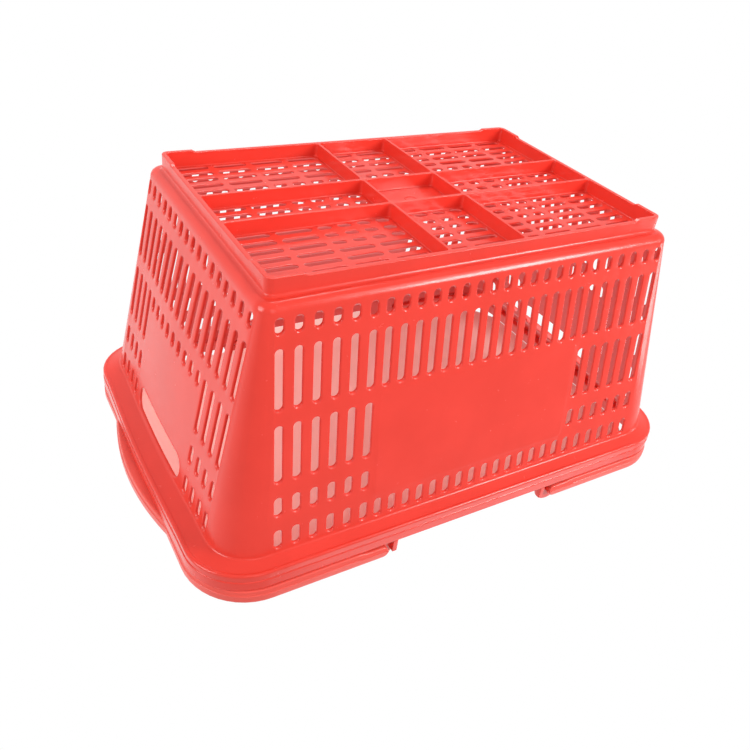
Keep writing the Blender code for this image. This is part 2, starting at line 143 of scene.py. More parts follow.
# Paper seen through the slots, painted pink with a painted glow in place of the red light and shade inside
# the
# basket: it lies in the mouth, inside the folded handles, and turns down at the back
CARD_HIGH, CARD_LOW = 226.4 * MM, 216.2 * MM
CARD_OUTLINE = ((-190, -140), (190, -140), (216.5, -100), (216.5, 100), (190, 140), (-180, 140), (-210, 100),
                (-216.5, -100))
FLAP_HALF, FLAP_Y = 85 * MM, -151.5 * MM
STAGE_HALF = 4.0
# Lights: name, place, width and share of the key's power
TUB_MIDDLE = (0, 0, 0.11)
LIGHTS = (
    ("key", (0.8, 1.0, -0.45), 0.52, 0.72),
    ("key_edge", (0.69, 0.8, -0.75), 0.6, 0.16),
    ("front", (-0.3, 1.5, -0.6), 0.8, 0.14),
    ("top", (0.3, -0.55, -1.2), 0.6, 0.55),
    ("side", (1.5, 0.7, 0.45), 0.5, 0.16),
    ("left", (-1.5, 0.25, -0.5), 0.9, 0.74),
    ("bounce", (0.85, 0.75, 1.55), 1.2, 0.22),
    ("overhead", (0.3, -0.4, 1.6), 1.4, 0.1),
)


class TubSizes(bpy.types.PropertyGroup):
    wall: FloatProperty(name="Wall", description="Thickness of the walls", default=2.4 * MM, unit="LENGTH")
    slot_half: FloatProperty(name="Slot half width", description="Half the width of a wall slot",
                             default=2.9 * MM, unit="LENGTH")
    floor_slot_half: FloatProperty(name="Floor slot half width", description="Half the width of a floor slot",
                                   default=2.7 * MM, unit="LENGTH")
    edge: FloatProperty(name="Edge rounding", description="Rounding of the slots and ribs", default=0.8 * MM,
                        unit="LENGTH")
    bow: FloatProperty(name="End bow", description="How far the middle of an end wall bulges outward",
                       default=2.8 * MM, unit="LENGTH")
    panel: FloatProperty(name="Panel height", description="How far the blank panels stand proud",
                         default=0.35 * MM, unit="LENGTH")
    colour: StringProperty(name="Tub colour", description="sRGB hex colour of the tub", default="#e2382a")


class HandleSizes(bpy.types.PropertyGroup):
    width: FloatProperty(name="Bail width", description="Thickness of the bail, outside to inside",
                         default=8.4 * MM, unit="LENGTH")
    arm: FloatProperty(name="Arm width", description="Thickness of the arm at the hinge", default=6.4 * MM,
                       unit="LENGTH")
    corner: FloatProperty(name="Bail corner", description="Outer radius of the bail's corners",
                          default=50 * MM, unit="LENGTH")
    grip_half: FloatProperty(name="Grip half length", description="Half the length of the grip",
                             default=70 * MM, unit="LENGTH")
    groove: FloatProperty(name="Groove", description="Depth of the step along the bail's outer face",
                          default=0.9 * MM, unit="LENGTH")
    # The handles' colour is the tub's red made paler: the paleness is a painted sheen of white light off the
    # paper below.
    colour: StringProperty(name="Handle colour", description="sRGB hex colour of the handles",
                           default="#e64e42")


class StageSettings(bpy.types.PropertyGroup):
    floor_colour: StringProperty(name="Floor colour", description="sRGB hex colour of the floor",
                                 default="#f4f2f0")
    # The card's pink is painted light: red bounce light from the basket and its shade, painted on white
    # paper.
    card_colour_painted_glow: StringProperty(name="Card colour", description="sRGB hex colour of the paper in the mouth",
                                default="#f6cfc6")
    world: FloatProperty(name="Room light", description="Strength of the even light from all round",
                         default=0.95)
    key: FloatProperty(name="Key light", description="Power of the large soft light, in watts", default=16.0,
                       unit="POWER")
    camera_place: FloatVectorProperty(name="Camera place", description="Where the camera stands",
                                      unit="LENGTH", subtype="TRANSLATION",
                                      default=(-0.3279, 0.4642, -0.2215))
    camera_turn: FloatVectorProperty(name="Camera turn", description="The camera's rotation", subtype="EULER",
                                     default=tuple(math.radians(a) for a in (-125.894, 6.72, 29.546)))
    lens: FloatProperty(name="Lens", description="Focal length on a 36 mm sensor, in millimetres",
                        default=36.54)


# ---------------------------------------------------------------- surfaces


class Skin:
    """Points and faces of one piece, gathered from its surfaces and welded into one mesh."""

    def __init__(self):
        self.points, self.faces, self.count = [], [], 0

    def add(self, points, faces):
        flat = np.asarray(points, float).reshape(-1, 3)
        self.points.append(flat)
        self.faces += (np.asarray(faces) + self.count).tolist()
        self.count += len(flat)

    def grids(self, points, closed=True):
        """Quads over n grids of k by m points; closed joins the last point of each row to its first."""
        n, k, m = points.shape[:3]
        index = np.arange(n * k * m).reshape(n, k, m)
        along = index if closed else index[:, :, :-1]
        after = np.roll(index, -1, axis=2) if closed else index[:, :, 1:]
        quads = np.stack([along[:, :-1], after[:, :-1], after[:, 1:], along[:, 1:]], axis=-1)
        self.add(points, quads.reshape(-1, 4))

    def piece(self, name, material):
        mesh = bpy.data.meshes.new(name)
        mesh.from_pydata(np.concatenate(self.points), [], self.faces)
        bm = bmesh.new()
        bm.from_mesh(mesh)
        bmesh.ops.remove_doubles(bm, verts=bm.verts, dist=WELD)
        bmesh.ops.dissolve_degenerate(bm, edges=bm.edges, dist=WELD)
        bmesh.ops.recalc_face_normals(bm, faces=bm.faces)
        bm.to_mesh(mesh)
        bm.free()
        mesh.polygons.foreach_set("use_smooth", np.ones(len(mesh.polygons), bool))
        mesh.set_sharp_from_angle(angle=math.radians(50))
        mesh.materials.append(material)
        obj = bpy.data.objects.new(name, mesh)
        bpy.context.scene.collection.objects.link(obj)
        shading = obj.modifiers.new("flat faces stay flat", "WEIGHTED_NORMAL")
        shading.keep_sharp = True
        return obj


def perimeter(arc, along_x=(), along_y=()):
    """Unit outline of a rounded rectangle, as rows of (core x, core y, normal x, normal y): a point lies at
    core * (half size - radius) + normal * radius.  arc is the facets of a quarter turn or its angles in
    degrees; along_x and along_y are places from -1 to 1 on the sides."""
    turn = np.radians(np.linspace(0, 90, arc + 1) if np.isscalar(arc) else arc)
    rows = []
    for quarter in range(4):
        angle = turn + quarter * math.pi / 2
        core = ((1, 1), (-1, 1), (-1, -1), (1, -1))[quarter]
        rows.append(np.column_stack([np.full((len(angle), 2), core), np.cos(angle), np.sin(angle)]))
        side = np.asarray(along_x if quarter % 2 == 0 else along_y, float)
        if len(side):
            places = np.sort(side) if quarter in (2, 3) else np.sort(side)[::-1]
            end = math.pi / 2 * (quarter + 1)
            flat = np.full(len(side), 1.0 if quarter in (0, 3) else -1.0)
            if quarter % 2 == 0:
                cores = np.column_stack([places, flat])
            else:
                cores = np.column_stack([flat, places])
            rows.append(np.column_stack([cores, np.tile([math.cos(end), math.sin(end)], (len(side), 1))]))
    return np.concatenate(rows)


def outline(shape, boxes, radius, grow=0.0):
    """Rounded rectangles in a plane, n by m by 2: boxes holds rows of (middle x, middle y, half x, half y),
    and grow moves every edge outward.  point = middle + core * (half - radius) + normal * (radius + grow)"""
    boxes = np.atleast_2d(np.asarray(boxes, float))
    core, normal = shape[None, :, :2], shape[None, :, 2:]
    return boxes[:, None, :2] + core * (boxes[:, None, 2:] - radius) + normal * (radius + grow)


def raised_end(boxes, rise):
    """The same boxes with their upper end moved up by rise."""
    return boxes + np.array([0, rise / 2, 0, rise / 2])


def inside(points, loops):
    """Even-odd test of many points against all the loops together."""
    x, y = points[:, 0:1], points[:, 1:2]
    start = np.concatenate(loops)
    end = np.concatenate([np.roll(loop, -1, axis=0) for loop in loops])
    crosses = (start[:, 1] > y) != (end[:, 1] > y)
    rise = np.where(end[:, 1] == start[:, 1], 1, end[:, 1] - start[:, 1])
    at = start[:, 0] + (y - start[:, 1]) * (end[:, 0] - start[:, 0]) / rise
    return np.count_nonzero(crosses & (x < at), axis=1) % 2 == 1


def fill(loops, folds=()):
    """Points and triangles of the region within the first loop and outside the others.  A fold is a line,
    open or closed, that the triangles keep to."""
    points, edges, count = [], [], 0
    for line, closed in [(loop, True) for loop in loops] + list(folds):
        index = np.arange(len(line)) + count
        pairs = np.column_stack([index, np.roll(index, -1)])
        points.append(line)
        edges.append(pairs if closed else pairs[:-1])
        count += len(line)
    coords = [Vector(p) for p in np.concatenate(points).tolist()]
    made, _, faces = delaunay_2d_cdt(coords, np.concatenate(edges).tolist(), [], 0, 1e-7)[:3]
    flat = np.array([tuple(p) for p in made])
    faces = np.array(faces)
    return flat, faces[inside(flat[faces].mean(axis=1), loops)]


def rounded_edge(radius, thickness):
    """(growth, depth) steps from one face of a wall to the other, with both edges rounded."""
    inner = radius * 0.7
    return [(radius, 0), (radius * 0.3, radius * 0.3), (0, radius),
            (0, thickness - inner), (inner * 0.3, thickness - inner * 0.3), (inner, thickness)]


# ---------------------------------------------------------------- the tub


def wall_size(z):
    """Half length, half width and corner radius of the outside at height z, each growing by its draft * z."""
    length = TOP_HALF_LENGTH - END_SET_BACK - LENGTH_DRAFT * (WALL_TOP - z)
    width = TOP_HALF_WIDTH - WIDTH_DRAFT * (WALL_TOP - z)
    return length, width, CORNER_FOOT + CORNER_DRAFT * z


def smooth(t):
    """Eased step from 0 to 1: 3 t ** 2 - 2 t ** 3."""
    t = np.clip(t, 0, 1)
    return t * t * (3 - 2 * t)


def end_bow(y, half_span, z, bow):
    """Outward bulge of an end wall: bow * (1 - (y / half span) ** 2) ** 2, fading in above the shoulder."""
    across = np.clip(1 - (y / half_span) ** 2, 0, 1) ** 2
    return bow * across * smooth((z - SHOULDER_TOP) / BOW_FADE)


def both_sides(values):
    """The values with their mirror images, in rising order; a zero is kept once."""
    return np.concatenate([-values[values > 0][::-1], values])


def columns(layout):
    """Distances of the slot columns from the middle of a wall, at z = 0."""
    middle = np.arange(layout["middle"] + 1) * layout["pitch"]
    outer = middle[-1] + layout["step"] + np.arange(layout["outer"]) * layout["outer_pitch"]
    return np.concatenate([middle, outer]) * MM


def slot_boxes(places, row, half_width):
    """Upright slots of one row, as (middle, middle height, half width, half height)."""
    row_low, row_high = (z * MM for z in row)
    count = len(places)
    return np.column_stack([places, np.full(count, (row_low + row_high) / 2), np.full(count, half_width),
                            np.full(count, (row_high - row_low) / 2)])


class Wall:
    """One tub wall, out to the middle of the corners beside it.  u runs along it as drawn at z = 0, and the
    columns fan out as they rise."""

    def __init__(self, long_side, sign, sizes):
        self.long_side, self.sign, self.sizes = long_side, sign, sizes
        self.layout = LONG_WALL if long_side else END_WALL

    def half_span(self, z):
        length, width, radius = wall_size(z)
        return (length if self.long_side else width) - radius

    def place(self, u, z, depth):
        """Point at s = u * (1 + fan * z) along the wall, depth in from its outer face.  Past the flat part s
        bends round the corner: along = flat + (radius - depth) * sin t, and out = half - radius +
        (radius - depth) * cos t, with t = (s - flat) / radius."""
        s = u * (1 + self.layout["fan"] * z)
        length, width, radius = wall_size(z)
        flat = self.half_span(z)
        turn = np.maximum(np.abs(s) - flat, 0) / radius
        along = np.sign(s) * (np.minimum(np.abs(s), flat) + (radius - depth) * np.sin(turn))
        out = (width if self.long_side else length) - radius + (radius - depth) * np.cos(turn)
        if self.long_side:
            return np.stack([along, self.sign * out, z], axis=-1)
        bow = end_bow(s, flat, z, self.sizes.bow)
        return np.stack([self.sign * (out + bow), along, z], axis=-1)

    def corner_stations(self, z, angles):
        """Values of u at which the wall has turned by the angles, at height z."""
        _, _, radius = wall_size(z)
        return (self.half_span(z) + radius * np.radians(angles)) / (1 + self.layout["fan"] * z)

    def slots(self):
        places, half = columns(self.layout), self.sizes.slot_half
        outer = places[self.layout["middle"] + 1:]
        if self.long_side:
            top = [(places, ROWS["E"])]
        else:
            top = [(outer, ROWS["E"]), (places[:self.layout["middle"] + 1], MIDDLE_ROW)]
        rows = [(places, ROWS["A"]), (places, ROWS["B"]), (outer, ROWS["C"]), (outer, ROWS["D"])] + top
        return np.concatenate([slot_boxes(both_sides(where), row, half) for where, row in rows])

    def panel_box(self):
        """The blank field between the outer slots: (middle, middle height, half length, half height)."""
        half = columns(self.layout)[self.layout["middle"]] + PANEL_MARGIN["side"] * MM
        if self.long_side:
            below, above = ROWS["B"][1], ROWS["E"][0] - PANEL_MARGIN["top_long"]
        else:
            below, above = MIDDLE_ROW[1], HAND_HOLE["low"] - PANEL_MARGIN["top_end"]
        bottom, top = (below + PANEL_MARGIN["bottom"]) * MM, above * MM
        return (0, (bottom + top) / 2, half, (top - bottom) / 2)

    def build(self, skin):
        """Both faces are flat sheets in (u, z), cut out round the slots and bent into place, and the edges of
        the openings join them.  The panel stands proud of the outer face by its height * field_height."""
        sizes = self.sizes
        edge = rounded_edge(sizes.edge, sizes.wall)
        openings = [(perimeter(SLOT_ARC), self.slots(), sizes.slot_half, edge, SLOT_SLOPE)]
        panel = self.panel_box()
        raised = sizes.panel if self.long_side else 0.0
        bottom, top = (self.corner_stations(z, angles)
                       for z, angles in ((SHOULDER_TOP, FOOT_ANGLES), (WALL_TOP, RIM_ANGLES)))
        between_corners = top[0] * np.linspace(-1, 1, 15)[1:-1] if not self.long_side else np.zeros(0)
        bottom_row = np.concatenate([-bottom[::-1], bottom])
        top_row = np.concatenate([-top[::-1], between_corners, top])[::-1]
        border = np.concatenate([np.column_stack([bottom_row, np.full(len(bottom_row), SHOULDER_TOP)]),
                                 np.column_stack([top_row, np.full(len(top_row), WALL_TOP)])])
        folds = [(np.array([(side * foot, SHOULDER_TOP), (side * head, WALL_TOP)]), False)
                 for side in (-1, 1) for foot, head in zip(bottom[-len(top):-1], top[:-1])]
        if self.long_side:
            field = perimeter(3)
            folds += [(outline(field, panel, PANEL_CORNER, grow)[0], True) for grow in (0.0, -PANEL_RAMP)]
        else:
            hole = HAND_HOLE
            box = (0, (hole["low"] + hole["high"]) / 2 * MM, hole["half_length"] * MM,
                   (hole["high"] - hole["low"]) / 2 * MM)
            hole_shape = perimeter(5, along_x=np.linspace(-1, 1, 13)[1:-1])
            openings.append((hole_shape, np.array([box]), hole["radius"] * MM, edge, 0.0))
            between = both_sides((columns(self.layout)[:-1] + columns(self.layout)[1:]) / 2)
            heights = np.linspace(SHOULDER_TOP + 1 * MM, hole["low"] * MM - 2 * MM, 12)
            folds += [(np.column_stack([np.full(len(heights), u), heights]), False) for u in between]
        for depth, share in ((0.0, 1.0), (sizes.wall, 0.0)):
            loops = [border]
            for kind, boxes, radius, _, slope in openings:
                loops += list(outline(kind, raised_end(boxes, slope * share), radius, sizes.edge))
            flat, faces = fill(loops, folds)
            rise = raised * share * field_height(flat, panel, PANEL_CORNER, PANEL_RAMP)
            skin.add(self.place(flat[:, 0], flat[:, 1], depth - rise), faces)
        for opening in openings:
            self.edges(skin, *opening)

    def edges(self, skin, shape, boxes, radius, steps, slope):
        """The rounded edge and thickness of openings, carried round each outline from face to face.  Their
        upper ends slope, so that each opening is taller by slope at the outer face."""
        first, last = steps[0][0], steps[-1][0]
        rings = []
        for grow, depth in steps:
            reach = first if grow in (first, last) else grow
            loop = outline(shape, raised_end(boxes, slope * max(0, 1 - depth / SLOT_SCOOP)), radius, reach)
            rings.append(self.place(loop[..., 0], loop[..., 1], np.full(loop.shape[:2], depth)))
        skin.grids(np.stack(rings, axis=1))


def field_height(points, box, radius, ramp):
    """0 outside a rounded rectangle, 1 at ramp or more inside its edge."""
    middle, half = np.array(box[:2]), np.array(box[2:])
    away = np.abs(points - middle) - (half - radius)
    outside = np.hypot(np.maximum(away[:, 0], 0), np.maximum(away[:, 1], 0))
    distance = radius - outside - np.minimum(np.maximum(away[:, 0], away[:, 1]), 0)
    return np.clip(distance / ramp, 0, 1)


def corner_rings(shape, levels):
    """Rings of the tub's outline at (inset, z) levels: core * (half - radius) + normal * (radius - inset)."""
    rings = []
    for inset, z in levels:
        length, width, radius = wall_size(max(z, SHOULDER_TOP))
        x = shape[:, 0] * (length - radius) + shape[:, 2] * (radius - inset)
        y = shape[:, 1] * (width - radius) + shape[:, 3] * (radius - inset)
        rings.append(np.column_stack([x, y, np.full(len(shape), z)]))
    return np.stack(rings)


def shoulder_levels(depth_wall, depth_floor):
    """Quarter round between wall and floor, at a depth that passes from the wall's to the floor's."""
    turn = np.linspace(0, math.pi / 2, SHOULDER_RINGS)
    depth = depth_wall + (depth_floor - depth_wall) * np.sin(turn)
    inset = SHOULDER * (1 - np.cos(turn)) + depth * np.cos(turn)
    return list(zip(inset, SHOULDER_TOP - SHOULDER * np.sin(turn) + depth * np.sin(turn)))


def build_shoulder(skin, sizes):
    """The rounded shoulder between walls and floor, all round, on the outside and the inside."""
    shape = perimeter(FOOT_QUARTER)
    for depth_wall, depth_floor in ((0, 0), (sizes.wall, FLOOR_HIGH - FLOOR_LOW)):
        skin.grids(corner_rings(shape, shoulder_levels(depth_wall, depth_floor))[None])


def floor_slot_boxes(sizes):
    """Slots of the floor, mirrored into the four quarters: full-length ones in the outer rows, and in the
    rows nearer the middle two short ones in place of each long one beside the cross ribs."""
    rows = [(y, True, False) for y in FLOOR_ROWS["inner"]]
    rows += [(FLOOR_ROWS["first_outer"] + k * FLOOR_ROWS["pitch"], k < FLOOR_ROWS["with_short"], True)
             for k in range(FLOOR_ROWS["outer"])]
    quarter = []
    for y, short, crosses_middle in rows:
        middles = [(BAY["side_start"] + (bay + 0.5) * BAY["pitch"], short and bay < 2) for bay in range(4)]
        if crosses_middle:
            middles.append((BAY["pitch"] / 2, short))
        for middle, split in middles:
            if split:
                quarter += [(middle + side * BAY["pitch"] / 4, y, BAY["short"] / 2) for side in (-1, 1)]
            else:
                quarter.append((middle, y, BAY["long"] / 2))
    x, y, half = np.array(quarter).T * MM
    signs = [(1, 1), (-1, 1), (-1, -1), (1, -1)]
    return np.concatenate([np.column_stack([sx * x, sy * y, half, np.full(len(x), sizes.floor_slot_half)])
                           for sx, sy in signs])


def build_floor(skin, sizes):
    """The floor plate with its slots, which are wider inside by the mould's draft, out to the shoulder."""
    shape, slots = perimeter(SLOT_ARC), floor_slot_boxes(sizes)
    thickness = FLOOR_HIGH - FLOOR_LOW
    border = corner_rings(perimeter(FOOT_QUARTER), [(SHOULDER, FLOOR_LOW)])[0][:, :2]
    steps = rounded_edge(sizes.edge * 0.8, thickness)
    for z, grow in ((FLOOR_LOW, steps[0][0]), (FLOOR_HIGH, steps[-1][0] + FLOOR_DRAFT)):
        flat, faces = fill([border] + list(outline(shape, slots, sizes.floor_slot_half, grow)))
        skin.add(np.column_stack([flat, np.full(len(flat), z)]), faces)
    rings = []
    for grow, depth in steps:
        loop = outline(shape, slots, sizes.floor_slot_half, grow + FLOOR_DRAFT * depth / thickness)
        rings.append(np.concatenate([loop, np.full(loop.shape[:2] + (1,), FLOOR_LOW + depth)], axis=-1))
    skin.grids(np.stack(rings, axis=1))


def rail_low(points):
    """Height of the lower edge of the rails and ribs: 0 at the corner feet, the lift elsewhere."""
    ramp_start = np.array([RAIL_HALF_LENGTH, RAIL_HALF_WIDTH]) - FOOT["length"] - FOOT["ramp"]
    near = smooth((np.abs(points[..., :2]) - ramp_start) / FOOT["ramp"])
    return FOOT["lift"] * (1 - near[..., 0] * near[..., 1])


def rail_stations(middle, half, reach):
    """Places along one side, from -1 to 1, that include both ends of the foot ramps."""
    marks = np.concatenate([np.linspace(-reach, reach, 41),
                            [side * (reach - FOOT["length"] - step * FOOT["ramp"]) for side in (-1, 1)
                             for step in (0, 0.5, 1)]])
    places = (np.unique(marks) - middle) / half
    return places[np.abs(places) < 0.97]


def cell_spans(rail_half, rib):
    """The three clear spans across the foot ring, between its inside and the two ribs."""
    inside_ring = rail_half - RAIL_THICKNESS
    return [(-inside_ring, -rib - RIB_HALF), (-rib + RIB_HALF, rib - RIB_HALF), (rib + RIB_HALF, inside_ring)]


def build_rails(skin):
    """Foot ring and ribs as one network: nine cells inside an outline, every edge rounded, and a small fillet
    where the upright faces meet the floor."""
    top = FLOOR_LOW + RAIL_SINK
    boxes = [((0, 0, RAIL_HALF_LENGTH, RAIL_HALF_WIDTH), RING_CORNER, RING_FILLET, -1)]
    boxes += [(((x0 + x1) / 2, (y0 + y1) / 2, (x1 - x0) / 2, (y1 - y0) / 2), CELL_CORNER, CELL_FILLET, 1)
              for x0, x1 in cell_spans(RAIL_HALF_LENGTH, RIB_X)
              for y0, y1 in cell_spans(RAIL_HALF_WIDTH, RIB_Y)]
    loops, roots = [], []
    for box, radius, fillet, way in boxes:
        steps = [(RAIL_ROUND, "low", 0), (RAIL_ROUND * 0.3, "low", RAIL_ROUND * 0.3), (0, "low", RAIL_ROUND),
                 (0, "top", fillet), (-fillet * 0.13, "top", fillet * 0.5),
                 (-fillet * 0.5, "top", fillet * 0.13), (-fillet, "top", 0)]
        shape = perimeter(5, rail_stations(box[0], box[2] - radius, RAIL_HALF_LENGTH),
                          rail_stations(box[1], box[3] - radius, RAIL_HALF_WIDTH))
        rings = []
        for grow, level, rise in steps:
            loop = outline(shape, box, radius, way * grow)[0]
            z = rail_low(loop) + rise if level == "low" else np.full(len(loop), top - rise)
            rings.append(np.column_stack([loop, z]))
        loops.append(rings[0][:, :2])
        roots.append(rings[-1][:, :2])
        skin.grids(np.stack(rings)[None])
    flat, faces = fill(loops)
    skin.add(np.column_stack([flat, rail_low(flat)]), faces)
    flat, faces = fill(roots)
    skin.add(np.column_stack([flat, np.full(len(flat), top)]), faces)


def build_gate_mark(skin):
    """The low ring left by the mould's gate under the middle of the floor: a tube round a circle, half sunk.
    reach = radius + tube * cos t, z = floor + tube * sin t"""
    ring, tube = np.linspace(0, 2 * math.pi, 25)[:-1], np.linspace(0, 2 * math.pi, 9)
    reach = GATE_RADIUS + GATE_TUBE * np.cos(tube)[:, None]
    z = np.broadcast_to(FLOOR_LOW + GATE_TUBE * np.sin(tube)[:, None], (len(tube), len(ring)))
    skin.grids(np.stack([reach * np.cos(ring), reach * np.sin(ring), z], axis=-1)[None])


def arc_points(middle, radius, start, end, count):
    """(offset, height) points of an arc, from start to end in degrees."""
    turn = np.radians(np.linspace(start, end, count))
    return np.column_stack([middle[0] + radius * np.cos(turn), middle[1] + radius * np.sin(turn)])


def rim_profile():
    """The rim's section as (offset from the wall, height): a tight fillet into a sloping flare, a broad bead
    that stands proud along its edge, a second step round the lip, and the same back down inside."""
    top, wall_top = RIM_TOP / MM, WALL_TOP / MM
    return np.concatenate([
        arc_points((2.2, wall_top), 2.2, 180, 112, 5), [(4.2, 199.2), (6.7, 200.1), (9.2, 201.0)],
        arc_points((10.2, 202.9), 2.0, -95, -5, 13), [(12.1, 206.0)],
        arc_points((11.5, 208.4), 1.0, -60, 0, 5), arc_points((11.8, top - 0.7), 0.7, 0, 90, 4),
        arc_points((10.6, top - 0.6), 0.6, 90, 180, 4), arc_points((8.6, 205.0), 1.4, 0, -68, 4),
        arc_points((2.2, wall_top), 4.6, 112, 180, 6)]) * MM


def build_rim(skin, sizes):
    """The rim's profile carried round the tub.  Offsets outside the wall are stretched to reach the rim's
    size on each side, and the ends carry the same bow as the end walls."""
    profile = rim_profile()
    shape = perimeter(ARC, along_y=np.linspace(-1, 1, 15)[1:-1])
    length, width, radius = wall_size(WALL_TOP)
    offset, z = profile[:, 0:1], profile[:, 1:2]
    reach = profile[:, 0].max()
    out_x = np.where(offset > 0, offset * (RIM_HALF_LENGTH - length) / reach, offset)
    out_y = np.where(offset > 0, offset * (RIM_HALF_WIDTH - width) / reach, offset)
    x = shape[:, 0] * (length - radius) + shape[:, 2] * (radius + out_x)
    y = shape[:, 1] * (width - radius) + shape[:, 3] * (radius + out_y)
    on_end = np.abs(shape[:, 2]) > 0.999
    bow = end_bow(y, width - radius, WALL_TOP, sizes.bow) * on_end * np.sign(shape[:, 2])
    skin.grids(np.stack([x + bow, y, np.broadcast_to(z, x.shape)], axis=-1)[None])


def plate(skin, loops_at, steps, place):
    """A plate between two faces with rounded edges: loops_at(grow) gives its outline and openings, steps are
    (growth, depth), and place(points, depth) puts them in the basket."""
    rings = [loops_at(grow) for grow, _ in steps]
    for loop in range(len(rings[0])):
        band = [place(ring[loop], depth) for ring, (_, depth) in zip(rings, steps)]
        skin.grids(np.stack(band)[None])
    for ring, (_, depth) in ((rings[0], steps[0]), (rings[-1], steps[-1])):
        flat, faces = fill(ring)
        skin.add(place(flat, depth), faces)


def edge_steps(radius, thickness):
    """(growth, depth) of a plate's edge: drawn in by the rounding at both faces."""
    near = [(-radius, 0), (-radius * 0.3, radius * 0.3), (0, radius)]
    return near + [(grow, thickness - depth) for grow, depth in near[::-1]]


def build_ears(skin):
    """Hinge ears and their stops: a round-topped plate with the pin's hole, standing on the shelf, and beside
    it an upright tab that fills the lip's height and stands out over its top."""
    foot, radius = EAR["foot"], EAR["radius"]
    for px, _, pz in PIVOT.values():
        for side in (-1, 1):
            def ear_loops(grow):
                top = arc_points((px, pz), radius + grow, 0, 180, 19)
                sides = np.array([(px - radius - grow, foot), (px + radius + grow, foot)])
                return [np.concatenate([top, sides]), arc_points((px, pz), EAR["hole"] - grow, 345, 0, 24)]

            def ear_place(points, depth):
                y = np.full(len(points), side * (EAR_INNER + depth))
                return np.column_stack([points[:, 0], y, points[:, 1]])

            def stop_loops(grow):
                root, lip, out = STOP["root"] - grow, STOP["lip"] + grow, STOP["out"] + grow
                step, top = STOP["step"] - grow, STOP["top"] + grow
                return [np.array([(root, foot), (lip, foot), (lip, step), (out, step), (out, top),
                                  (root, top)])]

            def stop_place(points, depth):
                x = np.full(len(points), math.copysign(abs(px) - STOP["in"] + depth, px))
                return np.column_stack([x, side * points[:, 0], points[:, 1]])

            plate(skin, ear_loops, edge_steps(EAR["round"], EAR["thickness"]), ear_place)
            plate(skin, stop_loops, edge_steps(EAR["round"], STOP["width"]), stop_place)


def build_tub(sizes, material):
    """The whole moulding as one mesh: walls, shoulder, floor, rails, rim and ears, welded where they meet."""
    skin = Skin()
    for long_side in (True, False):
        for sign in (-1, 1):
            Wall(long_side, sign, sizes).build(skin)
    build_shoulder(skin, sizes)
    build_floor(skin, sizes)
    build_rails(skin)
    build_gate_mark(skin)
    build_rim(skin, sizes)
    build_ears(skin)
    return skin.piece("tub", material)


# ---------------------------------------------------------------- the handles


def stations(*values):
    """Rows of a route from its columns; a single number holds for every row."""
    return np.column_stack(np.broadcast_arrays(*values))


def bail_path(px, pz, sizes):
    """Half of the bail's route, hinge to middle of the grip, as columns: outer face x and y, inward normal x
    and y, width, lowest and highest z.  The arm is straight, the corner a quarter circle, and the grip bows
    out by bulge * (1 - (y / half length) ** 2)."""
    end = BAIL_HIGH - pz
    hinge = np.linspace(math.pi / 2, 0, 7)
    nose = stations(px - end * np.sin(hinge), BAIL_SIDE, 0, -1, sizes.arm, pz - end * np.cos(hinge),
                    pz + end * np.cos(hinge))
    centre = (BAIL_END_STRAIGHT - sizes.corner, BAIL_SIDE - sizes.corner)
    arm_x = np.linspace(px, centre[0], 25)[1:-1]
    swell = smooth((arm_x - px - SWELL_START) / SWELL_LENGTH)
    arm = stations(arm_x, BAIL_SIDE, 0, -1, sizes.arm + (sizes.width - sizes.arm) * swell,
                   BAIL_LOW + ARM_RELIEF * (1 - swell), BAIL_HIGH)
    turn = np.linspace(math.pi / 2, 0, 13)
    corner = stations(centre[0] + sizes.corner * np.cos(turn), centre[1] + sizes.corner * np.sin(turn),
                      -np.cos(turn), -np.sin(turn), sizes.width, BAIL_LOW, BAIL_HIGH)
    y = np.concatenate([np.linspace(centre[1], sizes.grip_half, 6)[1:-1],
                        np.linspace(sizes.grip_half, 0, 26)])
    bulge = (BAIL_END - BAIL_END_STRAIGHT) * np.clip(1 - (y / sizes.grip_half) ** 2, 0, 1)
    grip = stations(BAIL_END_STRAIGHT + bulge, y, -1, 0, sizes.width + bulge, BAIL_LOW, BAIL_HIGH)
    return np.concatenate([nose, arm, corner, grip])


def build_handle(name, body, sizes, material):
    """The bail: a rounded section carried along its route, with a step along the outer face, and its two
    pins.  point = outer face + inward normal * depth, and depth, z go round the section's outline."""
    px, _, pz = PIVOT[body]
    way = math.copysign(1, px)
    half = bail_path(abs(px), pz, sizes)
    mirrored = half[-2::-1] * np.array([1, -1, 1, -1, 1, 1, 1])
    route = np.concatenate([half, mirrored])
    x, y, nx, ny, width, z_low, z_high = (column[:, None] for column in route.T)
    shape = perimeter(3, along_y=(-0.42, -0.3, 0.1, 0.5))
    half_z = (z_high - z_low) / 2
    radius = np.minimum(BAIL_ROUND, half_z)
    depth = width / 2 + shape[:, 0] * (width / 2 - radius) + shape[:, 2] * radius
    z = (z_high + z_low) / 2 + shape[:, 1] * (half_z - radius) + shape[:, 3] * radius
    outer_side = shape[:, 0] < 0
    depth = depth + sizes.groove * outer_side * smooth((BAIL_LOW + GROOVE_HEIGHT - z) / GROOVE_SLOPE + 1)
    skin = Skin()
    skin.grids(np.stack([way * (x + nx * depth), y + ny * depth, z], axis=-1)[None])
    pin = np.linspace(0, 2 * math.pi, 25)[:-1]
    tip, chamfer, radius = PIN["tip"], PIN["chamfer"], PIN["radius"]
    reach = np.array([0, radius - chamfer, radius, radius])[:, None]
    for side in (-1, 1):
        along = np.array([tip, tip, tip + chamfer, PIN["root"]])[:, None] * side + pin * 0
        skin.grids(np.stack([px + reach * np.cos(pin), along, pz + reach * np.sin(pin)], axis=-1)[None])
    return skin.piece(name, material)


# ---------------------------------------------------------------- materials


def linear(colour):
    """sRGB hex to linear RGBA."""
    srgb = np.array([int(colour[k:k + 2], 16) for k in (1, 3, 5)]) / 255
    flat = np.where(srgb <= 0.04045, srgb / 12.92, ((srgb + 0.055) / 1.055) ** 2.4)
    return (*flat.tolist(), 1.0)


